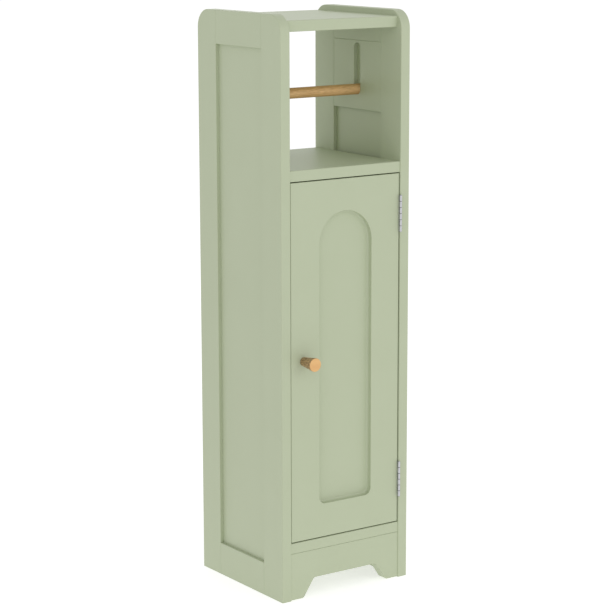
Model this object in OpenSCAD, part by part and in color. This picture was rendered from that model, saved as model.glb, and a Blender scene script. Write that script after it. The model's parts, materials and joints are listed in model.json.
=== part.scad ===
// Slim free-standing cabinet for toilet rolls: two framed sides, an open compartment
// with a lift-out roller bar, and a tall door with a routed arch over the store below.
// Millimetres. +X is to the right, the door faces -Y, and the floor is z = 0.

/* [Cabinet] */
// Overall height
cabinet_h = 800; // [760:1:880]
// Overall width over both side frames
cabinet_w = 213; // [200:1:260]
// Depth of the side frames, without the knob
cabinet_d = 203; // [190:1:260]
// Thickness of the top board, shelf, bottom board and apron
board_t = 15; // [15:0.5:18]
// Rounding of the painted edges
edge_r = 1.2; // [0.6:0.1:2]

/* [Side frames] */
// Thickness of the stiles and rails
frame_t = 15; // [15:0.5:18]
// Width of a stile
stile_w = 46; // [46:1:54]
// Height of the top rail
top_rail_h = 46; // [42:1:60]
// Height of the bottom rail
bottom_rail_h = 46; // [36:1:58]
// Radius of the two top corners of a side
corner_r = 25; // [12:1:32]
// Thickness of the field panel
field_t = 3; // [2.5:0.1:4]
// Depth of the field panel behind the outer face
field_recess = 6; // [5:0.1:6.5]
// Depth of the groove that holds the field panel
groove_d = 8; // [6:0.5:8]
// Width of the fine line along each glued joint, twice the eased edge of one piece
joint_line = 0.8; // [0.4:0.1:1.2]

/* [Boards] */
// Height of the frame edge above the top board
top_lip = 8.5; // [4:0.5:14]
// Distance of the top board behind the frame fronts
top_setback = 9.7; // [4:0.1:10]
// Clear height of the open compartment
open_h = 182; // [165:1:200]
// Distance of shelf, door, bottom board and apron behind the frame fronts
front_setback = 1.5; // [1:0.1:3]
// Distance of the boards in front of the frame backs
rear_setback = 3; // [2:0.5:5]

/* [Apron] */
// Height of the apron, up to the bottom board
apron_h = 66.5; // [60:0.5:90]
// Height of the cut-out
cutout_h = 26.5; // [15:0.5:35]
// Width of the cut-out along its top
cutout_top_w = 106; // [80:1:120]
// Slope of the cut-out's ends from the floor
cutout_angle = 56; // [45:1:75]
// Rounding of the cut-out's corners
cutout_r = 6; // [3:0.5:8]
// Height of the apron's feet off the floor
apron_lift = 0.5; // [0.3:0.1:2]

/* [Back and loose shelf] */
// Thickness of the back panel
back_t = 3; // [2.5:0.5:4]
// Wood left behind the back panel
back_inset = 8; // [6:0.5:9]
// Depth of the grooves for the back panel
back_groove = 5; // [3:0.5:6]
// Height of the loose shelf above the bottom board
loose_rise = 241; // [200:1:280]
// Play of the loose shelf at each end
loose_play = 1; // [0.5:0.1:2]
// Diameter of the shelf pins
pin_d = 5; // [4:0.5:6]
// Spacing of the holes for the shelf pins
pin_pitch = 32; // [25:1:40]

/* [Door] */
// Thickness of the door
door_t = 15; // [14:0.5:16]
// Rounding of the door's edges
door_edge_r = 0.8; // [0.5:0.1:2]
// Gap at both sides of the door
door_gap = 1.2; // [1.2:0.1:2.2]
// Gap above and below the door
door_head_gap = 1; // [0.8:0.1:2]
// Width of the routed arch
arch_w = 88; // [60:1:100]
// Solid margin above the arch
arch_top_margin = 43.5; // [30:0.5:70]
// Solid margin below the arch
arch_bottom_margin = 47; // [30:0.5:70]
// Depth of the routed arch
arch_depth = 8; // [6.5:0.1:9]
// Radius of the hollow cove between the arch's wall and its floor
cove_r = 5.5; // [3:0.1:6]
// Radius of the arch's two bottom corners
arch_corner_r = 10; // [10:0.5:20]

/* [Knob] */
// Length of the knob
knob_l = 28; // [18:1:40]
// Diameter of the knob at the door
knob_base_d = 12; // [11:0.5:16]
// Diameter of the knob at its front
knob_front_d = 19; // [17:0.5:26]
// Rounding of the knob's front rim
knob_rim_r = 1.5; // [0.5:0.1:2.5]
// Distance of the knob from the door's free edge
knob_inset = 20.8; // [14:0.1:30]
// Height of the knob above the middle of the door
knob_rise = 4; // [-60:1:80]

/* [Hinges] */
// Length of a hinge
hinge_l = 50.8; // [40:0.1:60]
// Diameter of the hinge knuckle
knuckle_d = 3.4; // [3.2:0.1:4.2]
// Diameter of the hinge pin
hinge_pin_d = 1.8; // [1.6:0.1:2]
// Number of knuckles along a hinge, an even number
knuckle_count = 6; // [4:2:8]
// Thickness of a hinge leaf
leaf_t = 0.8; // [0.6:0.1:0.8]
// Depth of the recess that lets a hinge leaf into the wood
leaf_sink = 0.6; // [0.5:0.1:0.8]
// Depth of a hinge leaf from the pin
leaf_w = 16.5; // [14:0.5:17]
// Distance of the pin in front of the frame fronts
pin_reach = 1.7; // [1.7:0.1:3]
// Distance from the door's top edge to the upper hinge
upper_hinge_drop = 30.5; // [20:0.5:80]
// Distance from the door's bottom edge to the lower hinge
lower_hinge_rise = 37; // [20:0.5:80]

/* [Roller] */
// Diameter of the roller bar
roller_d = 15; // [12:0.5:16]
// Height of the roller bar above the middle shelf
roller_rise = 91.5; // [85:0.5:96]
// Chamfer at the ends of the roller bar
roller_chamfer = 0.8; // [0.4:0.1:2]
// How far the roller bar lifts in its grooves
roller_lift = 57; // [40:1:60]
// Play of the roller bar in its grooves, all round
roller_play = 0.3; // [0.25:0.05:0.6]
// Play of the roller bar at each end
roller_end_play = 0.8; // [0.4:0.1:1.2]
// Wood of the inner block below the roller bar's axis
block_below = 28; // [20:1:36]

/* [Catch] */
// Length of the catch housing
catch_l = 46; // [42:1:54]
// Depth of the catch housing
catch_d = 14; // [13:0.5:18]
// Height of the catch housing
catch_h = 11; // [10:0.5:14]
// Rounding of the catch housing's corners
catch_r = 1.5; // [0.5:0.5:2.5]
// Distance of the catch from the cabinet's middle, to the knob side
catch_offset = 28; // [26:1:29]

/* [Fittings] */
// Diameter of a cam disc
cam_d = 15; // [12:0.5:15]
// Height of a cam disc
cam_h = 12; // [10:0.5:12]
// Distance of a cam disc's middle from the board's end
cam_reach = 24; // [22:0.5:34]
// Distance of the cam bolts from the frame's edges
cam_inset = 22; // [20:0.5:22]
// Distance of the dowels from the frame's edges
dowel_inset = 34; // [33:0.5:34]
// Diameter of the dowels
dowel_d = 6; // [5:0.5:6]
// Length of the dowels
dowel_l = 28; // [22:1:32]

/* [Hidden] */
$fn = 48;

paint = [0.725, 0.761, 0.655];
paint_side = [0.700, 0.733, 0.640];
beech = [0.82, 0.66, 0.44];
steel = [0.78, 0.78, 0.80];
plastic = [0.90, 0.90, 0.87];
dark_metal = [0.30, 0.30, 0.32];

slip = 0.05;        // clearance of a screw, pin or dowel in its hole
fit = 0.1;          // clearance of a tongue or panel in its groove
end_play = 0.5;     // clearance at the bottom of a groove
past = 1;           // how far a cutter runs past a face

// Places in depth: the knob counts in the overall depth, whose middle is y = 0
knob_overhang = knob_l - front_setback;
front_y = -(cabinet_d + knob_overhang) / 2 + knob_overhang;
rear_y = front_y + cabinet_d;
board_front_y = front_y + front_setback;
board_rear_y = rear_y - rear_setback;
door_back_y = board_front_y + door_t;
back_y = rear_y - back_inset - back_t;

// Places in width
half_w = cabinet_w / 2;
inner_x = half_w - frame_t;
inner_w = 2 * inner_x;
inner_recess = frame_t - field_recess - field_t;
ease = joint_line / 2;
rail_l = cabinet_d - 2 * stile_w;

// Places in height
top_board_z = cabinet_h - top_lip - board_t;
shelf_top_z = top_board_z - open_h;
shelf_z = shelf_top_z - board_t;
bottom_z = apron_h;
bottom_top_z = bottom_z + board_t;
door_z = bottom_top_z + door_head_gap;
door_h = shelf_z - door_head_gap - door_z;
door_w = inner_w - 2 * door_gap;
door_x = -door_w / 2;
loose_z = bottom_top_z + loose_rise;

// Hinge line, and each hinge's lower end
pin_x = inner_x - door_gap / 2;
pin_y = front_y - pin_reach;
hinge_z = [door_z + lower_hinge_rise, door_z + door_h - upper_hinge_drop - hinge_l];
knuckle_pitch = hinge_l / knuckle_count;
knuckle_gap = 0.2;
knuckle_ease = 0.3;
pin_head_h = 0.6;
leaf_clear = 0.3;
leaf_start = knuckle_d / 2 + leaf_clear;
leaf_corner_r = 2;
leaf_screws = 2;
leaf_margin = 11;
leaf_hole_y = (leaf_start + leaf_w) / 2;

// Roller: the grooves are round at both ends
roller_z = shelf_top_z + roller_rise;
roller_y = (front_y + rear_y) / 2;
slot_r = roller_d / 2 + roller_play;
roller_l = inner_w + 2 * (inner_recess - roller_end_play);
block_z = roller_z - block_below;
block_top_z = cabinet_h - top_rail_h;
block_flush = 0.15;

// Wood screws: [length, shank radius, head radius, head height]
hinge_screw = [11, 1.4, 2.6, 1.6];
strike_screw_size = [12, 1.4, 2.7, 1.6];
catch_screw_size = [12, 1.4, 3, 1.8];
screw_tip = 3;
screw_tip_r = 0.4;
cross_w = 0.7;
cross_l = 3;
cross_d = 0.9;

// Knob screw
knob_screw_r = 2;
knob_screw_head_r = 4.5;
knob_screw_head_h = 2;
knob_screw_taper = 1;
knob_screw_grip = 14;
knob_bore_spare = 1;
knob_x = door_x + knob_inset;
knob_z = door_z + door_h / 2 + knob_rise;

// Catch and strike plate
strike_t = 1;
strike_w = 34;
strike_h = 8;
strike_r = 2;
strike_gap = 0.3;
pole_t = 1;
pole_proud = 1;
magnet_w = 22;
magnet_d = 10;
magnet_h = 4;
catch_flange_t = 2;
catch_body_l = 28;
catch_y = door_back_y + strike_t + strike_gap + pole_proud;
pole_z = shelf_z - catch_flange_t - (catch_h - catch_flange_t) / 2;
catch_hole_y = catch_y + catch_d / 2;

// Cam bolts and dowels
cam_slip = 0.1;
cam_pocket_play = 0.3;
cam_pocket_d = cam_h + cam_pocket_play;
cam_room = 0.4;
cam_cross = [7, 1.2, 2];
bolt_thread_r = 2.5;
bolt_thread_l = 8;
bolt_collar_r = 3.5;
bolt_collar_l = 2;
bolt_shank_r = 2.5;
bolt_neck_r = 1.5;
bolt_neck_l = 4;
bolt_head_r = 3;
bolt_head_l = 3;
bolt_bore_r = 4;
dowel_in_frame = 10;
dowel_chamfer = 1;
pin_depth = 8;
pin_reach_in = 8;
pin_tab_t = 1.5;
pin_tab_w = 9;
pin_tab_sink = 0.5;
pin_collar = 1;
pin_inset = 28;
pin_rows = 5;
board_zs = [bottom_z, shelf_z, top_board_z];
apron_dowel_drops = [34, 12];
apron_dowel_zs = [apron_h - apron_dowel_drops[0], apron_h - apron_dowel_drops[1]];
shelf_front_gap = 3.5;
apron_dowel_y = board_front_y + board_t / 2;

// ---- shared shapes ----

// Section of a slab: w wide, reaching h upward, its two upper corners rounded
module slab_section(w, h, r) {
    square([w, h - r]);
    translate([r, 0]) square([w - 2 * r, h]);
    for (x = [r, w - r]) translate([x, h - r]) circle(r);
}

// Section of a board seen from its end: d deep, t thick, front edges rounded, rear ones eased
module board_section(d, t, r) {
    polygon([[r, 0], [d - ease, 0], [d, ease], [d, t - ease], [d - ease, t], [r, t]]);
    translate([0, r]) square([r, t - 2 * r]);
    for (z = [r, t - r]) translate([r, z]) circle(r);
}

// Rectangle with round corners, its middle at the origin
module rounded_rect(l, w, r) {
    square([l - 2 * r, w], center = true);
    square([l, w - 2 * r], center = true);
    for (x = [-1, 1], y = [-1, 1]) translate([x * (l / 2 - r), y * (w / 2 - r)]) circle(r);
}

// Length of a section along X, its own x along Y and its y along Z
module along_x(l) {
    rotate([90, 0, 90]) linear_extrude(l) children();
}

// Length of a section along Y, its own x along X and its y along Z
module along_y(l) {
    translate([0, l, 0]) rotate([90, 0, 0]) linear_extrude(l) children();
}

// Cutter that eases an edge along Z by w, or cuts a V-shaped line 2 * w wide into a face
module edge_cutter(l, w) {
    translate([0, 0, -past]) linear_extrude(l + 2 * past)
        polygon([[-w, 0], [0, -w], [w, 0], [0, w]]);
}

// Countersunk wood screw along Z, its head's top at z = 0; grow makes the hole for it
module screw_form(size, grow = 0) {
    head_h = size[3];
    translate([0, 0, -size[0] - grow]) cylinder(h = screw_tip, r1 = screw_tip_r + grow, r2 = size[1] + grow);
    translate([0, 0, -size[0] + screw_tip - grow])
        cylinder(h = size[0] - screw_tip - head_h + 2 * grow, r = size[1] + grow);
    translate([0, 0, -head_h]) cylinder(h = head_h, r1 = size[1] + grow, r2 = size[2] + grow);
    if (grow > 0) cylinder(h = past, r = size[2] + grow);
}

module cross_recess() {
    for (a = [0, 90]) rotate([0, 0, a]) translate([-cross_l / 2, -cross_w / 2, -cross_d])
        cube([cross_l, cross_w, cross_d + past]);
}

module wood_screw(size) {
    difference() {
        screw_form(size);
        cross_recess();
    }
}

// Puts its children at the hinge screws, heads towards -X; side 1 is the frame, -1 the door
module at_hinge_screws(side) {
    step = (hinge_l - 2 * leaf_margin) / (leaf_screws - 1);
    face_x = side * (door_gap / 2 + leaf_sink - leaf_t);
    for (z0 = hinge_z, k = [0 : leaf_screws - 1])
        translate([pin_x + face_x, pin_y + leaf_hole_y, z0 + leaf_margin + k * step])
            rotate([0, -90 * side, 0]) children();
}

// Puts its children at the boards' cam bolts; the child points along +X into the right frame
module at_cam_bolts() {
    for (z = board_zs, y = [front_y + cam_inset, rear_y - cam_inset], side = [0, 1])
        mirror([side, 0, 0]) translate([inner_x, y, z + board_t / 2]) children();
}

// Puts its children at the dowels of the boards and of the apron, as above
module at_dowels() {
    for (side = [0, 1]) mirror([side, 0, 0]) {
        for (z = board_zs, y = [front_y + dowel_inset, rear_y - dowel_inset])
            translate([inner_x, y, z + board_t / 2]) children();
        for (z = apron_dowel_zs) translate([inner_x, apron_dowel_y, z]) children();
    }
}

// Cylinder along +X
module rod_x(l, r) {
    rotate([0, 90, 0]) cylinder(h = l, r = r);
}

// Rod along Z, h long, both ends narrowed by in over a length of up
module rod_form(h, r, in, up) {
    cylinder(h = up, r1 = r - in, r2 = r);
    translate([0, 0, up]) cylinder(h = h - 2 * up, r = r);
    translate([0, 0, h - up]) cylinder(h = up, r1 = r, r2 = r - in);
}

// Holes for the fittings, cut into frames and boards alike
module fitting_holes() {
    at_cam_bolts() {
        translate([-past, 0, 0]) rod_x(bolt_thread_l + slip + past, bolt_thread_r + slip);
        translate([-cam_reach, 0, 0]) rod_x(cam_reach, bolt_bore_r);
        translate([-cam_reach, 0, -board_t / 2 - past])
            cylinder(h = cam_pocket_d + past, r = cam_d / 2 + cam_slip);
    }
    at_dowels() dowel_hole();
}

module dowel_hole() {
    translate([dowel_in_frame - dowel_l - end_play, 0, 0])
        rod_x(dowel_l + 2 * end_play, dowel_d / 2 + slip);
}

// Eases the upright edges inside a side frame, on both faces; where a rail meets a stile
// the eased edges of the two make a fine V-shaped line
module stile_edges() {
    for (x = [inner_x, half_w], y = [front_y + stile_w, rear_y - stile_w])
        translate([x, y, 0]) edge_cutter(cabinet_h, ease);
}

// Eases the rails' edges along the field panel, on both faces
module rail_edges() {
    for (x = [inner_x, half_w], z = [bottom_rail_h, cabinet_h - top_rail_h])
        translate([x, front_y, z]) rotate([-90, 0, 0]) edge_cutter(cabinet_d, ease);
}

// ---- right side frame; the left one is its mirror image ----

// Front stile at its place, before its holes are cut
module stile_blank() {
    straight_h = cabinet_h - corner_r;
    translate([half_w, front_y + stile_w, 0]) rotate([0, 0, 180]) linear_extrude(straight_h)
        slab_section(frame_t, stile_w, edge_r);
    translate([inner_x, front_y + corner_r, straight_h]) rotate([90, 0, 90]) rotate([0, 0, 90])
        rotate_extrude(angle = 90, $fn = 96)
            rotate(-90) mirror([1, 0]) slab_section(frame_t, corner_r, edge_r);
    translate([inner_x, front_y + corner_r, straight_h]) along_y(stile_w - corner_r)
        slab_section(frame_t, corner_r, edge_r);
}

// Groove for the field panel and the rails' tongues along a stile
module stile_groove() {
    translate([inner_x + inner_recess - fit, front_y + stile_w - groove_d, -past])
        cube([field_t + 2 * fit, groove_d + past, cabinet_h - groove_d + past]);
}

module front_stile(hinged) {
    color(paint) difference() {
        stile_blank();
        stile_groove();
        stile_edges();
        fitting_holes();
        pin_holes();
        if (hinged) {
            leaf_recesses(1);
            at_hinge_screws(1) screw_form(hinge_screw, slip);
        }
    }
}

module rear_stile() {
    color(paint) difference() {
        translate([0, front_y + rear_y, 0]) mirror([0, 1, 0]) difference() {
            stile_blank();
            stile_groove();
        }
        stile_edges();
        fitting_holes();
        pin_holes();
        back_panel_space();
    }
}

// Tongues at both ends of a rail, h tall from z
module rail_tongues(z, h) {
    translate([inner_x + inner_recess, front_y + stile_w - groove_d + fit, z])
        cube([field_t, rail_l + 2 * (groove_d - fit), h]);
}

module top_rail() {
    z = cabinet_h - top_rail_h;
    color(paint) difference() {
        union() {
            translate([inner_x, front_y + stile_w, z]) along_y(rail_l)
                slab_section(frame_t, top_rail_h, edge_r);
            rail_tongues(z, top_rail_h - groove_d - fit);
        }
        translate([inner_x + inner_recess - fit, front_y, z - past])
            cube([field_t + 2 * fit, cabinet_d, groove_d + past]);
        stile_edges();
        rail_edges();
    }
}

module bottom_rail() {
    color(paint) difference() {
        union() {
            translate([inner_x, front_y + stile_w, 0]) cube([frame_t, rail_l, bottom_rail_h]);
            rail_tongues(0, bottom_rail_h);
        }
        translate([inner_x + inner_recess - fit, front_y, bottom_rail_h - groove_d])
            cube([field_t + 2 * fit, cabinet_d, groove_d + past]);
        stile_edges();
        rail_edges();
    }
}

module field_panel() {
    in = groove_d - end_play;
    color(paint_side) translate([inner_x + inner_recess, front_y + stile_w - in, bottom_rail_h - in])
        cube([field_t, rail_l + 2 * in, cabinet_h - top_rail_h - bottom_rail_h + 2 * in]);
}

// Block glued into the recess of the side frame, with the roller's groove through it
module roller_block() {
    color(paint) translate([inner_x + block_flush, front_y + stile_w + fit, block_z]) difference() {
        l = rail_l - 2 * fit;
        h = block_top_z - fit - block_z;
        t = inner_recess - block_flush;
        cube([t, l, h]);
        for (y = [0, l]) translate([0, y, 0]) edge_cutter(h, ease);
        for (z = [0, h]) translate([0, 0, z]) rotate([-90, 0, 0]) edge_cutter(l, ease);
        translate([-past, l / 2, roller_z - block_z]) roller_slot(t + 2 * past);
    }
}

// Groove outline with round ends, l deep along X
module roller_slot(l) {
    for (z = [0, roller_lift]) translate([0, 0, z]) rod_x(l, slot_r);
    translate([0, -slot_r, 0]) cube([l, 2 * slot_r, roller_lift]);
}

// ---- boards ----

// Board between the side frames, its front edges rounded
module plain_board(y0, y1, z) {
    translate([-inner_x, y0, z]) along_x(inner_w) board_section(y1 - y0, board_t, edge_r);
}

module top_board() {
    color(paint) difference() {
        plain_board(front_y + top_setback, board_rear_y, top_board_z);
        fitting_holes();
    }
}

module middle_shelf() {
    color(paint) difference() {
        plain_board(board_front_y, board_rear_y, shelf_z);
        fitting_holes();
        back_panel_space();
        at_catch_screws() screw_form(catch_screw_size, slip);
    }
}

module bottom_board() {
    color(paint) difference() {
        plain_board(board_front_y, board_rear_y, bottom_z);
        fitting_holes();
        back_panel_space();
    }
}

// Half of the apron's cut-out; its corners are arcs tangent to the floor, slope and top
module cutout_half() {
    run = cutout_h / tan(cutout_angle);
    top_x = cutout_top_w / 2;
    foot_x = top_x + run;
    tl = cutout_r * tan(cutout_angle / 2);
    c = tl * cos(cutout_angle);
    s = tl * sin(cutout_angle);
    difference() {
        union() {
            polygon([
                [-past, -past], [foot_x + tl, -past], [foot_x + tl, 0], [foot_x - c, s],
                [top_x + c, cutout_h - s], [top_x - tl, cutout_h], [-past, cutout_h]
            ]);
            translate([top_x - tl, cutout_h - cutout_r]) circle(cutout_r);
        }
        translate([foot_x + tl, cutout_r]) circle(cutout_r);
    }
}

module front_apron() {
    color(paint) difference() {
        translate([-inner_x, board_front_y, apron_lift]) along_x(inner_w)
            board_section(board_t, apron_h - apron_lift, edge_r / 2);
        for (side = [0, 1]) mirror([side, 0, 0]) translate([0, board_front_y - past, apron_lift])
            along_y(board_t + 2 * past) cutout_half();
        at_dowels() dowel_hole();
    }
}

// Room for the back panel: grooves in the rear stiles, the shelf and the bottom board
module back_panel_space() {
    translate([-inner_x - back_groove, back_y - fit, bottom_top_z - back_groove])
        cube([inner_w + 2 * back_groove, back_t + 2 * fit, shelf_z - bottom_top_z + 2 * back_groove]);
}

module back_panel() {
    in = back_groove - end_play;
    color(paint_side) translate([-inner_x - in, back_y, bottom_top_z - in])
        cube([inner_w + 2 * in, back_t, shelf_z - bottom_top_z + 2 * in]);
}

// ---- loose shelf ----

module loose_shelf() {
    y0 = door_back_y + shelf_front_gap;
    y1 = back_y - loose_play;
    color(paint) translate([-inner_x + loose_play, y0, loose_z])
        along_x(inner_w - 2 * loose_play) board_section(y1 - y0, board_t, edge_r);
}

// Puts its children at the shelf pins of one row, pointing along +X into the right frame
module at_shelf_pins(z) {
    for (side = [0, 1], y = [front_y + pin_inset, rear_y - pin_inset])
        mirror([side, 0, 0]) translate([inner_x, y, z]) children();
}

module pin_holes() {
    for (k = [0 : pin_rows - 1])
        at_shelf_pins(loose_z - pin_d / 2 - pin_tab_t + (k - (pin_rows - 1) / 2) * pin_pitch)
            translate([-past, 0, 0]) rod_x(pin_depth + end_play + past, pin_d / 2 + slip);
}

// Peg with a flat tab on top that carries the shelf
module shelf_pins() {
    color(steel) at_shelf_pins(loose_z - pin_d / 2 - pin_tab_t) {
        translate([-pin_reach_in, 0, 0]) rod_x(pin_reach_in + pin_depth, pin_d / 2);
        translate([-loose_play / 2, 0, 0]) rod_x(loose_play / 2, pin_d / 2 + pin_collar);
        translate([-pin_reach_in, -pin_tab_w / 2, pin_d / 2 - pin_tab_sink])
            cube([pin_reach_in - loose_play / 2, pin_tab_w, pin_tab_t + pin_tab_sink]);
    }
}

// ---- fittings ----

module cam_bolts() {
    head_x = -cam_reach - bolt_head_l / 2;
    neck_x = head_x + bolt_head_l;
    shank_x = neck_x + bolt_neck_l;
    color(steel) at_cam_bolts() {
        rod_x(bolt_thread_l, bolt_thread_r);
        translate([-bolt_collar_l, 0, 0]) rod_x(bolt_collar_l, bolt_collar_r);
        translate([shank_x, 0, 0]) rod_x(-shank_x, bolt_shank_r);
        translate([neck_x, 0, 0]) rod_x(bolt_neck_l, bolt_neck_r);
        translate([head_x, 0, 0]) rod_x(bolt_head_l, bolt_head_r);
    }
}

// Disc with a slot for the bolt's neck, a wider room for its head and a cross recess below
module cam_discs() {
    head_r = bolt_head_r + cam_room;
    neck_r = bolt_shank_r + cam_room;
    color(steel) at_cam_bolts() translate([-cam_reach, 0, -board_t / 2]) difference() {
        cylinder(h = cam_h, r = cam_d / 2);
        translate([0, 0, board_t / 2]) {
            translate([-bolt_head_l, 0, 0]) rod_x(2 * bolt_head_l, head_r);
            rod_x(cam_d, neck_r);
            translate([0, -neck_r, 0]) cube([cam_d, 2 * neck_r, board_t]);
            translate([-bolt_head_l, -head_r, 0]) cube([2 * bolt_head_l, 2 * head_r, board_t]);
        }
        for (a = [45, 135]) rotate([0, 0, a])
            translate([-cam_cross[0] / 2, -cam_cross[1] / 2, -past])
                cube([cam_cross[0], cam_cross[1], cam_cross[2] + past]);
    }
}

module wood_dowels() {
    color(beech) at_dowels() translate([dowel_in_frame - dowel_l, 0, 0]) rotate([0, 90, 0])
        rod_form(dowel_l, dowel_d / 2, dowel_chamfer / 2, dowel_chamfer);
}

// ---- door ----

// Section of the arch's rim: an upright wall at reach r, a quarter-round cove and the floor
module cove_section(r) {
    translate([0, -past]) square([r, arch_depth - cove_r + past]);
    square([r - cove_r, arch_depth]);
    translate([r - cove_r, arch_depth - cove_r]) intersection() {
        circle(cove_r);
        square(cove_r);
    }
}

// Part of a dish with a cove rim: from +X through the angle, its mouth at z = 0
module cove_turn(r, angle) {
    mirror([0, 0, 1]) rotate_extrude(angle = angle, $fn = 96) cove_section(r);
}

// Straight strip with a cove towards +X; l long along Y
module cove_run(r, l) {
    rotate([-90, 0, 0]) linear_extrude(l) cove_section(r);
}

// The routed arch, with its face in the plane z = 0 and x = 0 at the middle of its base
module arch_cutter() {
    r = arch_w / 2;
    side_x = r - arch_corner_r;
    side_h = door_h - arch_top_margin - arch_bottom_margin - r - arch_corner_r;
    translate([0, arch_corner_r + side_h, 0]) cove_turn(r, 180);
    translate([-side_x, arch_corner_r, -arch_depth]) cube([2 * side_x, side_h, arch_depth + past]);
    translate([-side_x, arch_corner_r, 0]) rotate([0, 0, -90]) cove_run(arch_corner_r, 2 * side_x);
    for (side = [0, 1]) mirror([side, 0, 0]) translate([side_x, arch_corner_r, 0]) {
        cove_run(arch_corner_r, side_h);
        rotate([0, 0, -90]) cove_turn(arch_corner_r, 90);
    }
}

module door_panel() {
    color(paint) difference() {
        intersection() {
            translate([door_x, board_front_y + door_t, door_z]) mirror([0, 1, 0]) linear_extrude(door_h)
                slab_section(door_w, door_t, door_edge_r);
            translate([door_x, board_front_y, door_z]) along_x(door_w)
                board_section(door_t, door_h, door_edge_r);
        }
        translate([0, board_front_y, door_z + arch_bottom_margin]) rotate([90, 0, 0]) arch_cutter();
        translate([knob_x, board_front_y - past, knob_z]) rotate([-90, 0, 0])
            cylinder(h = door_t + 2 * past, r = knob_screw_r + slip);
        leaf_recesses(-1);
        at_hinge_screws(-1) screw_form(hinge_screw, slip);
        at_strike_screw() screw_form(strike_screw_size, slip);
    }
}

// Turned knob: a cone that widens to a rounded rim, bored for its screw
module door_knob() {
    front_r = knob_front_d / 2;
    color(beech) translate([knob_x, board_front_y, knob_z]) rotate([90, 0, 0]) difference() {
        rotate_extrude($fn = 64) {
            polygon([
                [0, 0], [knob_base_d / 2, 0], [front_r, knob_l - knob_rim_r],
                [front_r - knob_rim_r, knob_l], [0, knob_l]
            ]);
            intersection() {
                translate([front_r - knob_rim_r, knob_l - knob_rim_r]) circle(knob_rim_r);
                square([front_r, knob_l]);
            }
        }
        translate([0, 0, -past]) cylinder(h = knob_screw_grip + knob_bore_spare + past, r = knob_screw_r + slip);
    }
}

module knob_screw() {
    color(steel) translate([knob_x, door_back_y, knob_z]) rotate([90, 0, 0]) difference() {
        union() {
            translate([0, 0, -knob_screw_head_h]) cylinder(
                h = knob_screw_head_h, r1 = knob_screw_head_r - knob_screw_taper, r2 = knob_screw_head_r
            );
            cylinder(h = door_t + knob_screw_grip, r = knob_screw_r);
        }
        translate([0, 0, -knob_screw_head_h]) mirror([0, 0, 1]) cross_recess();
    }
}

// ---- hinges ----

// Outline of a hinge leaf, far corners rounded: x along the hinge, y away from the pin;
// grow widens it by that much all round
module leaf_outline(start, grow = 0) {
    r = leaf_corner_r + grow;
    end = leaf_w + grow;
    translate([-grow, start]) square([hinge_l + 2 * grow, end - start - r]);
    translate([r - grow, start]) square([hinge_l + 2 * grow - 2 * r, end - start]);
    for (z = [r - grow, hinge_l + grow - r]) translate([z, end - r]) circle(r);
}

// Recesses that let the hinge leaves into the wood; side 1 is the frame's, -1 the door's
module leaf_recesses(side) {
    for (z = hinge_z) translate([pin_x, pin_y, z]) mirror([side > 0 ? 0 : 1, 0, 0])
        translate([door_gap / 2 + leaf_sink, 0, 0]) rotate([0, -90, 0])
            linear_extrude(leaf_sink + past) leaf_outline(0, slip);
}

// One leaf round the pin, which stands at the origin; side 1 is the frame's, -1 the door's
module hinge_leaf(side) {
    first = side > 0 ? 1 : 0;
    outer_x = door_gap / 2 + leaf_sink;
    difference() {
        union() {
            mirror([side > 0 ? 0 : 1, 0, 0]) {
                translate([outer_x, 0, 0]) rotate([0, -90, 0]) linear_extrude(leaf_t)
                    leaf_outline(leaf_start);
                for (k = [first : 2 : knuckle_count - 1])
                    translate([outer_x - leaf_t, 0, k * knuckle_pitch + knuckle_gap / 2])
                        cube([leaf_t, leaf_start + past, knuckle_pitch - knuckle_gap]);
            }
            for (k = [first : 2 : knuckle_count - 1])
                translate([0, 0, k * knuckle_pitch + knuckle_gap / 2])
                    rod_form(knuckle_pitch - knuckle_gap, knuckle_d / 2, knuckle_ease, knuckle_ease);
        }
        translate([0, 0, -past]) cylinder(h = hinge_l + 2 * past, r = hinge_pin_d / 2 + slip);
    }
}

module hinge_leaves(side) {
    color(steel) difference() {
        for (z = hinge_z) translate([pin_x, pin_y, z]) hinge_leaf(side);
        at_hinge_screws(side) screw_form(hinge_screw, slip);
    }
}

module hinge_frame_leaves() {
    hinge_leaves(1);
}

module hinge_door_leaves() {
    hinge_leaves(-1);
}

module hinge_pins() {
    color(steel) for (z = hinge_z) translate([pin_x, pin_y, z]) {
        translate([0, 0, knuckle_gap]) cylinder(h = hinge_l - knuckle_gap, r = hinge_pin_d / 2);
        translate([0, 0, hinge_l]) cylinder(h = pin_head_h, r1 = knuckle_d / 2, r2 = hinge_pin_d / 2);
    }
}

module hinge_frame_screws() {
    color(steel) at_hinge_screws(1) wood_screw(hinge_screw);
}

module hinge_door_screws() {
    color(steel) at_hinge_screws(-1) wood_screw(hinge_screw);
}

// ---- catch ----

// Puts its children at the catch's screws, heads down
module at_catch_screws() {
    for (x = [-1, 1]) translate([-catch_offset + x * (catch_l + catch_body_l) / 4, catch_hole_y,
        shelf_z - catch_flange_t]) rotate([180, 0, 0]) children();
}

module catch_housing() {
    room = [magnet_w + 2 * slip, magnet_d + slip, magnet_h + 2 * (pole_t + slip)];
    color(plastic) difference() {
        translate([-catch_offset, catch_hole_y, 0]) {
            translate([0, 0, shelf_z - catch_flange_t]) linear_extrude(catch_flange_t)
                rounded_rect(catch_l, catch_d, catch_r);
            translate([0, 0, shelf_z - catch_h]) linear_extrude(catch_h)
                rounded_rect(catch_body_l, catch_d, catch_r);
        }
        translate([-catch_offset - room[0] / 2, catch_y - past, pole_z - room[2] / 2])
            cube([room[0], room[1] + past, room[2]]);
        at_catch_screws() screw_form(catch_screw_size, slip);
    }
}

module catch_magnet() {
    color(dark_metal) translate([-catch_offset - magnet_w / 2, catch_y, pole_z - magnet_h / 2])
        cube([magnet_w, magnet_d, magnet_h]);
}

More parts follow.
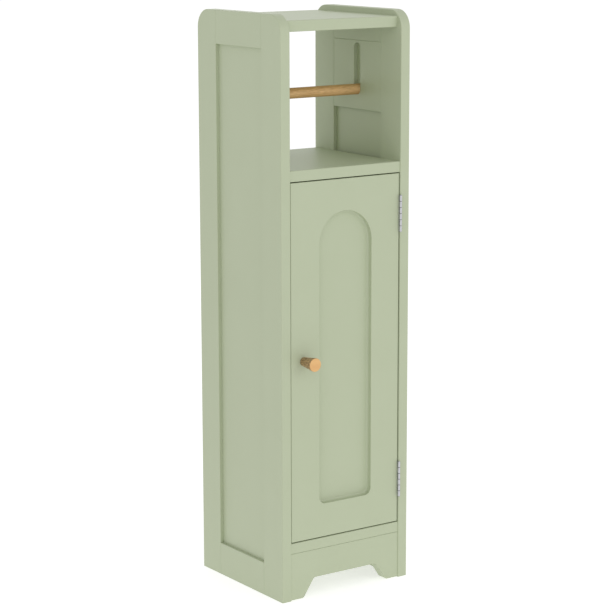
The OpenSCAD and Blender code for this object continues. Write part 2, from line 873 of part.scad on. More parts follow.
module catch_pole_plates() {
    color(steel) for (z = [pole_z - magnet_h / 2 - pole_t, pole_z + magnet_h / 2])
        translate([-catch_offset - magnet_w / 2, catch_y - pole_proud, z])
            cube([magnet_w, magnet_d + pole_proud, pole_t]);
}

module catch_screws() {
    color(steel) at_catch_screws() wood_screw(catch_screw_size);
}

module at_strike_screw() {
    translate([-catch_offset, door_back_y + strike_t, pole_z]) rotate([-90, 0, 0]) children();
}

module strike_plate() {
    color(steel) difference() {
        translate([-catch_offset, door_back_y + strike_t, pole_z]) rotate([90, 0, 0])
            linear_extrude(strike_t) rounded_rect(strike_w, strike_h, strike_r);
        at_strike_screw() screw_form(strike_screw_size, slip);
    }
}

module strike_screw() {
    color(steel) at_strike_screw() wood_screw(strike_screw_size);
}

// ---- roller ----

module roller_bar() {
    color(beech) translate([-roller_l / 2, roller_y, roller_z]) rotate([0, 90, 0])
        rod_form(roller_l, roller_d / 2, roller_chamfer, roller_chamfer);
}

// ---- the pieces, each under its own name ----

module left_side() {
    mirror([1, 0, 0]) children();
}

left_side() front_stile(false);  // left_front_stile
left_side() rear_stile();  // left_rear_stile
left_side() top_rail();  // left_top_rail
left_side() bottom_rail();  // left_bottom_rail
left_side() field_panel();  // left_field_panel
left_side() roller_block();  // left_roller_block
front_stile(true);  // right_front_stile
rear_stile();  // right_rear_stile
top_rail();  // right_top_rail
bottom_rail();  // right_bottom_rail
field_panel();  // right_field_panel
roller_block();  // right_roller_block
top_board();
middle_shelf();
bottom_board();
front_apron();
back_panel();
loose_shelf();
shelf_pins();
cam_bolts();
cam_discs();
wood_dowels();
door_panel();
door_knob();
knob_screw();
hinge_frame_leaves();
hinge_door_leaves();
hinge_pins();
hinge_frame_screws();
hinge_door_screws();
catch_housing();
catch_magnet();
catch_pole_plates();
catch_screws();
strike_plate();
strike_screw();
roller_bar();
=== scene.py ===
import json
import math

import bmesh
import bpy
from mathutils import Matrix, Vector


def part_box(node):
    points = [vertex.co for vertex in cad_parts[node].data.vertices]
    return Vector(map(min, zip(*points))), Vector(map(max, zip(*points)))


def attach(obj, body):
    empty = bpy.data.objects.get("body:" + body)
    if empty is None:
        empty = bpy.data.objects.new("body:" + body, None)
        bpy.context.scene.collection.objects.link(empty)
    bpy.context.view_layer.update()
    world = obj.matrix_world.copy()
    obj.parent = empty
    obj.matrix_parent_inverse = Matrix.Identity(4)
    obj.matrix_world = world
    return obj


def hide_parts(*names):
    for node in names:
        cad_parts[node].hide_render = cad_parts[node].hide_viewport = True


# Slim cabinet for toilet rolls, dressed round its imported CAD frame.
# Lengths in the dictionaries are in millimetres, and angles in degrees.

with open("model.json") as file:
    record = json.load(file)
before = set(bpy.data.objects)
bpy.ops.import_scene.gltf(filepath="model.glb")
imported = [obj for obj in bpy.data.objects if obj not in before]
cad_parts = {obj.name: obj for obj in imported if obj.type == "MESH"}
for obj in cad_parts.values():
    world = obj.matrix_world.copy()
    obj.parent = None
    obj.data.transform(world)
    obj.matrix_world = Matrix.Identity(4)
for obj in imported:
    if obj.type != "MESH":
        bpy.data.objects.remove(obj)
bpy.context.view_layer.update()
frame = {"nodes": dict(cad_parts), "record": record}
cadNodes = frame["nodes"]
mm = 0.001
print("frame loaded:", len(cadNodes), "CAD nodes")


# the camera stands at the photograph's viewing angle
cameraView = {
    "place": (-1643.2, -2351.0, 953.9),
    "turnRight": 34.809,  # away from straight at the door
    "tiltDown": 11.086,
    "roll": -0.129,
    "lens": 123.96,
    "sensor": 36.0,
    "nearest": 50,  # nothing nearer or farther than these two shows
    "farthest": 200000,
}


def placeCamera(view):
    bpy.ops.object.camera_add()
    camera = bpy.context.object
    camera.name = "photoCamera"
    camera.data.lens = view["lens"]
    camera.data.sensor_width = view["sensor"]
    camera.data.clip_start = view["nearest"] * mm
    camera.data.clip_end = view["farthest"] * mm
    turn = Matrix.Rotation(math.radians(-view["turnRight"]), 4, "Z")
    tilt = Matrix.Rotation(math.radians(90 - view["tiltDown"]), 4, "X")
    roll = Matrix.Rotation(math.radians(view["roll"]), 4, "Z")
    place = Matrix.Translation(Vector(view["place"]) * mm)
    camera.matrix_world = place @ turn @ tilt @ roll
    bpy.context.scene.camera = camera


placeCamera(cameraView)
bpy.context.scene.view_settings.view_transform = "Standard"
print("camera placed")


# node trees: one function adds any node, with its settings and its links

mixFrom, mixTo, mixed = 6, 7, 2  # a Mix node's colour sockets: the two it mixes, and the result


def addNode(tree, kind, inputs=None, **settings):
    node = tree.nodes.new(kind)
    for key, value in settings.items():
        setattr(node, key, value)
    for key, value in (inputs or {}).items():
        if isinstance(value, bpy.types.NodeSocket):
            tree.links.new(value, node.inputs[key])
        else:
            node.inputs[key].default_value = value
    return node


def paint(hexColour):
    # sRGB hex to the linear colour that the shaders use
    parts = [int(hexColour[i:i + 2], 16) / 255 for i in (1, 3, 5)]
    linear = [c / 12.92 if c <= 0.04045 else ((c + 0.055) / 1.055) ** 2.4 for c in parts]
    return (*linear, 1.0)


def noiseScale(size):
    # noise scale that gives features of this size, on coordinates in metres
    return 1 / (size * mm)


def bandScale(pitch):
    # wave scale that repeats its bands at this pitch: the texture turns 20 radians a unit
    return 2 * math.pi / (20 * pitch * mm)


def newMaterial(name):
    material = bpy.data.materials.new(name)
    material.use_nodes = True
    material.node_tree.nodes.clear()
    return material, material.node_tree


# plain studio: a white room of soft light, two softboxes in front and a weak one behind, and a
# pale floor that glows like a light table
studio = {
    "skyLight": 0.692,  # strength of the room's light on matt surfaces
    "floorReach": 60000,
    "floorColour": "#DADADA",
    "floorGlow": 0.447,  # the floor's own light, which reaches the cabinet too
    "nearGlow": 0.136,  # more of it round the cabinet, fading between the two distances
    "nearFrom": 150,
    "nearTo": 900,
    "floorLift": 0.11,  # seen by the camera alone: brings the far floor up to the white room
    "softboxAim": (0, 0, 400),
}
softboxes = {
    "leftSoftbox": {"place": (-2200, -3000, 2200), "size": 2400, "power": 8.8},
    "frontSoftbox": {"place": (1100, -3700, 1900), "size": 2400, "power": 17.0},
    "rearSoftbox": {"place": (700, 2300, 1500), "size": 1000, "power": 4.0},
}


def makeRoom(spec):
    world = bpy.data.worlds.new("whiteRoom")
    world.use_nodes = True
    tree = world.node_tree
    tree.nodes.clear()
    ray = addNode(tree, "ShaderNodeLightPath")
    # white to the camera, in reflections and through glass, and weaker as a light
    seen = ray.outputs["Is Camera Ray"]
    for kind in ("Is Glossy Ray", "Is Transmission Ray"):
        either = addNode(tree, "ShaderNodeMath", {0: seen, 1: ray.outputs[kind]},
                         operation="MAXIMUM")
        seen = either.outputs[0]
    strength = addNode(tree, "ShaderNodeMix", {"Factor": seen, "A": spec["skyLight"], "B": 1.0})
    room = addNode(tree, "ShaderNodeBackground", {
        "Color": paint("#FFFFFF"), "Strength": strength.outputs[0]})
    addNode(tree, "ShaderNodeOutputWorld", {"Surface": room.outputs[0]})
    bpy.context.scene.world = world


def makeFloor(spec):
    bpy.ops.mesh.primitive_plane_add(size=2 * spec["floorReach"] * mm)
    floor = bpy.context.object
    floor.name = "paleFloor"
    material, tree = newMaterial("paleFloorPaper")
    ray = addNode(tree, "ShaderNodeLightPath")
    side = addNode(tree, "ShaderNodeNewGeometry")
    matt = addNode(tree, "ShaderNodeBsdfDiffuse", {"Color": paint(spec["floorColour"])})
    place = addNode(tree, "ShaderNodeTexCoord")
    reach = addNode(tree, "ShaderNodeVectorMath", {0: place.outputs["Object"]}, operation="LENGTH")
    far = addNode(tree, "ShaderNodeMapRange", {
        "Value": reach.outputs["Value"], "From Min": spec["nearFrom"] * mm,
        "From Max": spec["nearTo"] * mm})
    glow = addNode(tree, "ShaderNodeMapRange", {
        "Value": far.outputs[0], "To Min": spec["floorGlow"] + spec["nearGlow"],
        "To Max": spec["floorGlow"]})
    lift = addNode(tree, "ShaderNodeMath", {0: far.outputs[0], 1: spec["floorLift"]},
                   operation="MULTIPLY")
    strength = addNode(tree, "ShaderNodeMath", {
        0: ray.outputs["Is Camera Ray"], 1: lift.outputs[0], 2: glow.outputs[0]},
        operation="MULTIPLY_ADD")
    lit = addNode(tree, "ShaderNodeEmission", {"Strength": strength.outputs[0]})
    paper = addNode(tree, "ShaderNodeAddShader", {0: matt.outputs[0], 1: lit.outputs[0]})
    clear = addNode(tree, "ShaderNodeBsdfTransparent")  # from below, the floor is out of the way
    both = addNode(tree, "ShaderNodeMixShader", {
        0: side.outputs["Backfacing"], 1: paper.outputs[0], 2: clear.outputs[0]})
    addNode(tree, "ShaderNodeOutputMaterial", {"Surface": both.outputs[0]})
    floor.data.materials.append(material)


def hangSoftbox(name, spec, aim):
    place = Vector(spec["place"]) * mm
    bpy.ops.object.light_add(type="AREA", location=place)
    light = bpy.context.object
    light.name = name
    light.data.shape = "DISK"
    light.data.size = spec["size"] * mm
    light.data.energy = spec["power"]
    light.visible_camera = False  # a softbox is never in the picture itself
    towards = Vector(aim) * mm - place
    light.rotation_euler = towards.to_track_quat("-Z", "Y").to_euler()


makeRoom(studio)
makeFloor(studio)
for boxName, boxSpec in softboxes.items():
    hangSoftbox(boxName, boxSpec, studio["softboxAim"])
print("studio lit")


# materials, each with its own dictionary

paintLook = {
    "thin": "#B5BEA0",  # the coat's two shades
    "thick": "#B9C2A5",
    "cloud": 55,
    "peel": 1.6,  # real orange peel is about 0.8 mm wide; drawn wider so that it shows at all
    "peelStrength": 0.18,
    "peelHeight": 0.05,
    "rough": (0.40, 0.47),
}


def sagePaintedBoard(look):
    # medium density fibreboard, sprayed with satin polyurethane paint: an even soft sheen, a
    # fine orange peel, and a very faint cloudiness where the coat is thicker
    material, tree = newMaterial("sageSatinPaintOnFibreboard")
    place = addNode(tree, "ShaderNodeTexCoord")
    cloud = addNode(tree, "ShaderNodeTexNoise", {
        "Vector": place.outputs["Object"], "Scale": noiseScale(look["cloud"]), "Detail": 3.0})
    colour = addNode(tree, "ShaderNodeMix", {
        "Factor": cloud.outputs[0], mixFrom: paint(look["thin"]), mixTo: paint(look["thick"])},
        data_type="RGBA")
    peel = addNode(tree, "ShaderNodeTexNoise", {
        "Vector": place.outputs["Object"], "Scale": noiseScale(look["peel"]), "Detail": 2.0})
    bump = addNode(tree, "ShaderNodeBump", {
        "Height": peel.outputs[0], "Strength": look["peelStrength"],
        "Distance": look["peelHeight"] * mm})
    rough = addNode(tree, "ShaderNodeMapRange", {
        "Value": cloud.outputs[0], "To Min": look["rough"][0], "To Max": look["rough"][1]})
    shader = addNode(tree, "ShaderNodeBsdfPrincipled", {
        "Base Color": colour.outputs[mixed], "Roughness": rough.outputs[0], "IOR": 1.5,
        "Normal": bump.outputs[0]})
    addNode(tree, "ShaderNodeOutputMaterial", {"Surface": shader.outputs[0]})
    return material


oakLook = {
    "shift": (-67.0, -21.8, -7.1),  # where in the tree the piece was cut
    "turn": (0, 2.5, 4),  # between the grain and the X axis
    "stretch": 36,  # how much longer than wide the streaks are
    "streak": 2.2,
    "ring": 16.336,  # real year rings are 1 to 3 mm wide; drawn wider so that they show
    "ringShare": 0.3,  # of the figure; the rest is streaks
    "figureSpan": (0.3, 0.7),  # values of the figure that come out dark and light
    "dark": "#CA9D64",
    "light": "#E5BD87",
    "pore": 0.7,  # real pores are about 0.25 mm wide; drawn wider so that they show
    "poreSpan": (0.4, 0.64),
    "poreShare": 0.35,
    "poreColour": "#8C6235",
    "poreDepth": 0.05,
    "rough": 0.55,
    "sheen": 0.3,
    "coat": 0.06,
}
beechLook = {
    **oakLook, "turn": (0, 0, 0), "stretch": 8, "dark": "#CBA377", "light": "#DDBB92",
    "poreColour": "#B08355", "poreShare": 0.2, "rough": 0.7, "coat": 0.0,
}


def straightGrainWood(name, look):
    # hardwood seen along the grain: straw streaks, faint growth rings and fine dark pores; a
    # coat of clear lacquer, where there is one, adds the soft sheen
    material, tree = newMaterial(name)
    place = addNode(tree, "ShaderNodeTexCoord")
    turned = addNode(tree, "ShaderNodeMapping", {
        "Vector": place.outputs["Object"], "Location": [shift * mm for shift in look["shift"]],
        "Rotation": [math.radians(angle) for angle in look["turn"]]})
    along = addNode(tree, "ShaderNodeMapping", {
        "Vector": turned.outputs[0], "Scale": (1 / look["stretch"], 1, 1)})
    streak = addNode(tree, "ShaderNodeTexNoise", {
        "Vector": along.outputs[0], "Scale": noiseScale(look["streak"]), "Detail": 4.0,
        "Roughness": 0.6, "Distortion": 0.35})
    ring = addNode(tree, "ShaderNodeTexWave", {
        "Vector": along.outputs[0], "Scale": bandScale(look["ring"]), "Distortion": 5.0,
        "Detail": 2.0, "Detail Scale": 1.5}, bands_direction="Z")
    figure = addNode(tree, "ShaderNodeMix", {
        "Factor": look["ringShare"], "A": streak.outputs[0], "B": ring.outputs["Fac"]})
    figure = addNode(tree, "ShaderNodeMapRange", {
        "Value": figure.outputs[0], "From Min": look["figureSpan"][0],
        "From Max": look["figureSpan"][1]})
    wood = addNode(tree, "ShaderNodeMix", {
        "Factor": figure.outputs[0], mixFrom: paint(look["dark"]), mixTo: paint(look["light"])},
        data_type="RGBA")
    pore = addNode(tree, "ShaderNodeTexNoise", {
        "Vector": along.outputs[0], "Scale": noiseScale(look["pore"]), "Detail": 1.0})
    pore = addNode(tree, "ShaderNodeMapRange", {
        "Value": pore.outputs[0], "From Min": look["poreSpan"][0], "From Max": look["poreSpan"][1],
        "To Max": look["poreShare"]})
    colour = addNode(tree, "ShaderNodeMix", {
        "Factor": pore.outputs[0], mixFrom: wood.outputs[mixed], mixTo: paint(look["poreColour"])},
        data_type="RGBA")
    bump = addNode(tree, "ShaderNodeBump", {
        "Height": pore.outputs[0], "Strength": 0.25, "Distance": -look["poreDepth"] * mm})
    shader = addNode(tree, "ShaderNodeBsdfPrincipled", {
        "Base Color": colour.outputs[mixed], "Roughness": look["rough"], "IOR": 1.5,
        "Specular IOR Level": look["sheen"], "Coat Weight": look["coat"], "Coat Roughness": 0.2,
        "Normal": bump.outputs[0]})
    addNode(tree, "ShaderNodeOutputMaterial", {"Surface": shader.outputs[0]})
    return material


knobLow, knobHigh = (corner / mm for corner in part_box("door_knob"))
knobWoodLook = {
    "speck": 2.0,  # real speckles are about 0.3 mm wide; drawn wider so that they show
    "speckSquash": 0.6,  # under 1 they are longer along the knob
    "speckSpan": (0.40, 0.60),
    "speckDepth": 0.08,
    # the sides' speckled grain colours, darker than the face partly for the grain and partly as
    # painted shade
    "sideDarkWithPaintedShade": "#6B5030",
    "sideLightWithPaintedShade": "#BC9C6B",
    "ring": 15.08,  # year rings, drawn wide like the bar's
    "faceDark": "#E0AD6F",
    "faceLight": "#E6B677",
    "sideFrom": 1.5,  # behind the front, where the sides' colour is full
    "faceTo": 0.4,  # behind the front, where the face's colour is full
    "rough": 0.5,
    "coat": 0.1,
}


def turnedOakKnob(look):
    # oak turned across the grain: speckled sides coloured darker than the face, partly for the
    # open grain that takes the lacquer dark and partly as painted shade, and a face sanded smooth
    # and pale, with the year rings as faint stripes
    material, tree = newMaterial("lacqueredOakKnob")
    place = addNode(tree, "ShaderNodeTexCoord")
    where = addNode(tree, "ShaderNodeSeparateXYZ", {0: place.outputs["Object"]})
    longer = addNode(tree, "ShaderNodeMapping", {
        "Vector": place.outputs["Object"], "Scale": (1, look["speckSquash"], 1)})
    speck = addNode(tree, "ShaderNodeTexNoise", {
        "Vector": longer.outputs[0], "Scale": noiseScale(look["speck"]), "Detail": 3.0,
        "Roughness": 0.7})
    speck = addNode(tree, "ShaderNodeMapRange", {
        "Value": speck.outputs[0], "From Min": look["speckSpan"][0],
        "From Max": look["speckSpan"][1]})
    # sides: speckled grain, with painted shade darkening them
    side = addNode(tree, "ShaderNodeMix", {
        "Factor": speck.outputs[0], mixFrom: paint(look["sideDarkWithPaintedShade"]),
        mixTo: paint(look["sideLightWithPaintedShade"])}, data_type="RGBA")
    ring = addNode(tree, "ShaderNodeTexWave", {
        "Vector": place.outputs["Object"], "Scale": bandScale(look["ring"]), "Distortion": 1.5,
        "Detail": 2.0}, bands_direction="Z")
    face = addNode(tree, "ShaderNodeMix", {
        "Factor": ring.outputs["Fac"], mixFrom: paint(look["faceDark"]),
        mixTo: paint(look["faceLight"])}, data_type="RGBA")
    front = addNode(tree, "ShaderNodeMapRange", {
        "Value": where.outputs["Y"], "From Min": (knobLow.y + look["sideFrom"]) * mm,
        "From Max": (knobLow.y + look["faceTo"]) * mm})
    colour = addNode(tree, "ShaderNodeMix", {
        "Factor": front.outputs[0], mixFrom: side.outputs[mixed], mixTo: face.outputs[mixed]},
        data_type="RGBA")
    bump = addNode(tree, "ShaderNodeBump", {
        "Height": speck.outputs[0], "Strength": 0.25, "Distance": look["speckDepth"] * mm})
    shader = addNode(tree, "ShaderNodeBsdfPrincipled", {
        "Base Color": colour.outputs[mixed], "Roughness": look["rough"], "IOR": 1.5,
        "Coat Weight": look["coat"], "Coat Roughness": 0.25, "Normal": bump.outputs[0]})
    addNode(tree, "ShaderNodeOutputMaterial", {"Surface": shader.outputs[0]})
    return material


nickelLook = {
    "colour": "#C8C8CE",
    "rough": 0.28,
    "roughSpread": 0.06,
    "mark": 0.8,  # spacing of the tool's marks
    "markHeight": 0.008,
}
zincLook = {**nickelLook, "colour": "#C3C6CB", "rough": 0.32, "mark": 0.4}
dieCastLook = {**nickelLook, "colour": "#A9ABAE", "rough": 0.48, "mark": 0.6}


def platedMetal(name, look):
    # bright plating over pressed or turned steel, or the bare skin of a die casting: a tight
    # metal sheen with a trace of the tool's marks
    material, tree = newMaterial(name)
    place = addNode(tree, "ShaderNodeTexCoord")
    mark = addNode(tree, "ShaderNodeTexNoise", {
        "Vector": place.outputs["Object"], "Scale": noiseScale(look["mark"]), "Detail": 3.0})
    rough = addNode(tree, "ShaderNodeMapRange", {
        "Value": mark.outputs[0], "To Min": look["rough"] - look["roughSpread"],
        "To Max": look["rough"] + look["roughSpread"]})
    bump = addNode(tree, "ShaderNodeBump", {
        "Height": mark.outputs[0], "Strength": 0.1, "Distance": look["markHeight"] * mm})
    shader = addNode(tree, "ShaderNodeBsdfPrincipled", {
        "Base Color": paint(look["colour"]), "Metallic": 1.0, "Roughness": rough.outputs[0],
        "Normal": bump.outputs[0]})
    addNode(tree, "ShaderNodeOutputMaterial", {"Surface": shader.outputs[0]})
    return material


paintedKnuckleShade = {
    "feet": (119.5, 497.2),  # lower end of each hinge
    "between": 300.0,  # a height between the two hinges
    "pitch": 50.8 / 6,  # six knuckles on a two-inch hinge
    "faceY": -88.0,  # no painted shade lines behind about the cabinet's face, where the leaves are
    "darkTo": 0.25,  # from the joint, where the line is full
    "clearFrom": 0.45,  # and where it has gone
    # colour of the painted shade in the knuckle joints
    "colour": "#5A5A5E",
}


def nickelWithPaintedKnuckleShade(name, look, joints):
    # nickel plate with a painted shade: a dark line where the knuckles meet, standing in for the
    # shadow in the gaps between them
    material = platedMetal(name, look)
    tree = material.node_tree
    shader = next(node for node in tree.nodes if node.type == "BSDF_PRINCIPLED")
    place = addNode(tree, "ShaderNodeTexCoord")
    where = addNode(tree, "ShaderNodeSeparateXYZ", {0: place.outputs["Object"]})
    upper = addNode(tree, "ShaderNodeMath", {0: where.outputs["Z"], 1: joints["between"] * mm},
                    operation="GREATER_THAN")
    foot = addNode(tree, "ShaderNodeMapRange", {
        "Value": upper.outputs[0], "To Min": joints["feet"][0] * mm,
        "To Max": joints["feet"][1] * mm})
    above = addNode(tree, "ShaderNodeMath", {0: where.outputs["Z"], 1: foot.outputs[0]},
                    operation="SUBTRACT")
    off = addNode(tree, "ShaderNodeMath", {0: above.outputs[0], 1: joints["pitch"] / 2 * mm},
                  operation="PINGPONG")
    # painted shade: full at each joint between knuckles, fading out a little way along
    line = addNode(tree, "ShaderNodeMapRange", {
        "Value": off.outputs[0], "From Min": joints["darkTo"] * mm,
        "From Max": joints["clearFrom"] * mm, "To Min": 1.0, "To Max": 0.0})
    proud = addNode(tree, "ShaderNodeMath", {0: where.outputs["Y"], 1: joints["faceY"] * mm},
                    operation="LESS_THAN")
    line = addNode(tree, "ShaderNodeMath", {0: line.outputs[0], 1: proud.outputs[0]},
                   operation="MULTIPLY")
    colour = addNode(tree, "ShaderNodeMix", {
        "Factor": line.outputs[0], mixFrom: paint(look["colour"]), mixTo: paint(joints["colour"])},
        data_type="RGBA")
    tree.links.new(colour.outputs[mixed], shader.inputs["Base Color"])
    return material


plasticLook = {
    "colour": "#ECEBE7",
    "rough": 0.42,
    "roughSpread": 0.04,
    "spark": 0.5,  # grit of the mould's surface
    "sparkHeight": 0.04,
}
ferriteLook = {**plasticLook, "colour": "#3C3C3F", "rough": 0.7, "spark": 0.3}


def mouldedPiece(name, look):
    # injection moulded plastic, or ferrite pressed and sintered: an even, slightly broken
    # sheen from the mould's fine spark texture
    material, tree = newMaterial(name)
    place = addNode(tree, "ShaderNodeTexCoord")
    spark = addNode(tree, "ShaderNodeTexNoise", {
        "Vector": place.outputs["Object"], "Scale": noiseScale(look["spark"]), "Detail": 2.0})
    bump = addNode(tree, "ShaderNodeBump", {
        "Height": spark.outputs[0], "Strength": 0.2, "Distance": look["sparkHeight"] * mm})
    rough = addNode(tree, "ShaderNodeMapRange", {
        "Value": spark.outputs[0], "To Min": look["rough"] - look["roughSpread"],
        "To Max": look["rough"] + look["roughSpread"]})
    shader = addNode(tree, "ShaderNodeBsdfPrincipled", {
        "Base Color": paint(look["colour"]), "Roughness": rough.outputs[0], "IOR": 1.46,
        "Normal": bump.outputs[0]})
    addNode(tree, "ShaderNodeOutputMaterial", {"Surface": shader.outputs[0]})
    return material


sagePaint = sagePaintedBoard(paintLook)
oakBar = straightGrainWood("lacqueredOakBar", oakLook)
oakKnob = turnedOakKnob(knobWoodLook)
hingeNickelWithPaintedShade = nickelWithPaintedKnuckleShade("satinNickelWithPaintedKnuckleShade", nickelLook, paintedKnuckleShade)
slotMaterial = {
    "painted_board": sagePaint,
    "lacquered_oak": oakBar,
    "raw_beech": straightGrainWood("bareBeech", beechLook),
    "nickel_plated_steel": platedMetal("satinNickelPlatedSteel", nickelLook),
    "zinc_plated_steel": platedMetal("brightZincPlatedSteel", zincLook),
    "zinc_alloy": platedMetal("dieCastZincAlloy", dieCastLook),
    "white_plastic": mouldedPiece("whiteMouldedAbs", plasticLook),
    "magnet_ferrite": mouldedPiece("sinteredFerrite", ferriteLook),
}
slotOf = {part["node"]: part["material_slot"] for part in frame["record"]["subparts"]}
for nodeName, node in cadNodes.items():
    finish = hingeNickelWithPaintedShade if "leaves" in nodeName else slotMaterial[slotOf[nodeName]]
    node.data.materials.clear()
    node.data.materials.append(finish)
print("finishes on the CAD nodes")


# modelling helpers: pick by place or direction, then shape with the edit operators

near = 0.01  # two places this close are the same
straight = 0.9999  # cosine from which a direction counts as along an axis


def startEdit(piece):
    # puts a new primitive's place into its mesh, and opens it for editing
    bpy.ops.object.transform_apply(location=True, rotation=True, scale=True)
    bpy.ops.object.mode_set(mode="EDIT")
    return piece


def pick(piece, kind, wanted):
    # selects the faces, edges or vertices of an open mesh whose place and direction pass the
    # test: a face's or vertex's direction is its normal, and an edge's runs along it
    bpy.ops.mesh.select_mode(type=kind)
    bpy.ops.mesh.select_all(action="DESELECT")
    mesh = bmesh.from_edit_mesh(piece.data)
    if kind == "FACE":
        for face in mesh.faces:
            face.select_set(wanted(face.calc_center_median() / mm, face.normal))
    elif kind == "EDGE":
        for edge in mesh.edges:
            a, b = (v.co for v in edge.verts)
            edge.select_set(wanted((a + b) / 2 / mm, (a - b).normalized()))
    else:
        for vertex in mesh.verts:
            vertex.select_set(wanted(vertex.co / mm, vertex.normal))
    mesh.select_flush_mode()
    bmesh.update_edit_mesh(piece.data)


def smoothPiece(piece, angle):
    bpy.ops.object.mode_set(mode="OBJECT")
    bpy.ops.object.select_all(action="DESELECT")
    piece.select_set(True)
    bpy.context.view_layer.objects.active = piece
    bpy.ops.object.shade_smooth_by_angle(angle=math.radians(angle))
    bpy.ops.object.modifier_add(type="WEIGHTED_NORMAL")
    piece.modifiers[-1].keep_sharp = True
    bpy.ops.object.modifier_apply(modifier=piece.modifiers[-1].name)


def hangOn(piece, material, body, slotName, *stoodFor):
    piece.data.materials.clear()
    piece.data.materials.append(material)
    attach(piece, body)
    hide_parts(*stoodFor)
    bpy.ops.object.select_all(action="DESELECT")


# fittings and apron: their solids stay, and each gets broken edges that catch the light
brokenEdges = {
    "hinge_frame_leaves": 0.25, "hinge_door_leaves": 0.25, "hinge_pins": 0.15,
    "strike_plate": 0.15, "catch_housing": 0.3, "catch_pole_plates": 0.1, "shelf_pins": 0.2,
    "cam_discs": 0.25, "front_apron": 0.4,
}
edgeLook = {
    "steps": 2,
    "sharpFrom": 40,  # edges that turn more than this are broken
    "weld": 0.001,  # joins the solid's loose triangles first
}


def breakEdges(nodeName, width, look):
    node = cadNodes[nodeName]
    weld = node.modifiers.new("weld", "WELD")
    weld.merge_threshold = look["weld"] * mm
    bevel = node.modifiers.new("brokenEdge", "BEVEL")
    bevel.width = width * mm
    bevel.segments = look["steps"]
    bevel.limit_method = "ANGLE"
    bevel.angle_limit = math.radians(look["sharpFrom"])
    bevel.harden_normals = True


for nodeName, width in brokenEdges.items():
    breakEdges(nodeName, width, edgeLook)
print("edges of the fittings and the apron broken")


# door: a board with eased edges and a routed arch, its wall running into the floor in a cove
doorLow, doorHigh = (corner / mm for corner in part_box("door_panel"))
doorLook = {
    "edgeRound": 0.8,
    "edgeSteps": 4,
    "endTrim": 0.4,  # planed off at the top and the bottom for a wider gap
    "archHalf": 44.0,
    "archTop": 43.5,  # board left above the arch
    "archBottom": 47.0,  # board left below it
    "cornerRound": 10.0,
    "cornerSteps": 10,
    "archPoints": 128,
    "lip": 0.4,  # small round where the wall leaves the face
    "lipSteps": 3,
    "wallLean": 0.1,  # between the lip and the cove
    "depth": 8.0,
    "cove": 3.5,  # radius where the wall meets the floor of the arch
    "coveSteps": 8,
    "weld": 0.001,
    "smoothTo": 32,
}
leafPocket = {
    "depth": 0.6,
    "reach": 13.35,  # back from the door's face
    "height": 50.9,
    "cornerRound": 2.05,
    "cornerSteps": 6,
    "middles": (144.9, 522.6),  # heights of the two
    "overcut": 2.0,  # the cutter stands out of the wood by this much
}


def quarterTurn(steps):
    # angles from 0 to 90 degrees, for a round drawn in this many steps
    return [math.radians(90 * k / steps) for k in range(steps + 1)]


def recessSteps(look):
    # (inwards, down) from one ring of the arch's wall to the next
    lip, cove = look["lip"], look["cove"]
    ring = [(lip * math.sin(a), lip * (1 - math.cos(a))) for a in quarterTurn(look["lipSteps"])]
    ring += [(lip + look["wallLean"] + cove * (1 - math.cos(a)),
              look["depth"] - cove + cove * math.sin(a)) for a in quarterTurn(look["coveSteps"])]
    return [(b[0] - a[0], b[1] - a[1]) for a, b in zip(ring, ring[1:])]


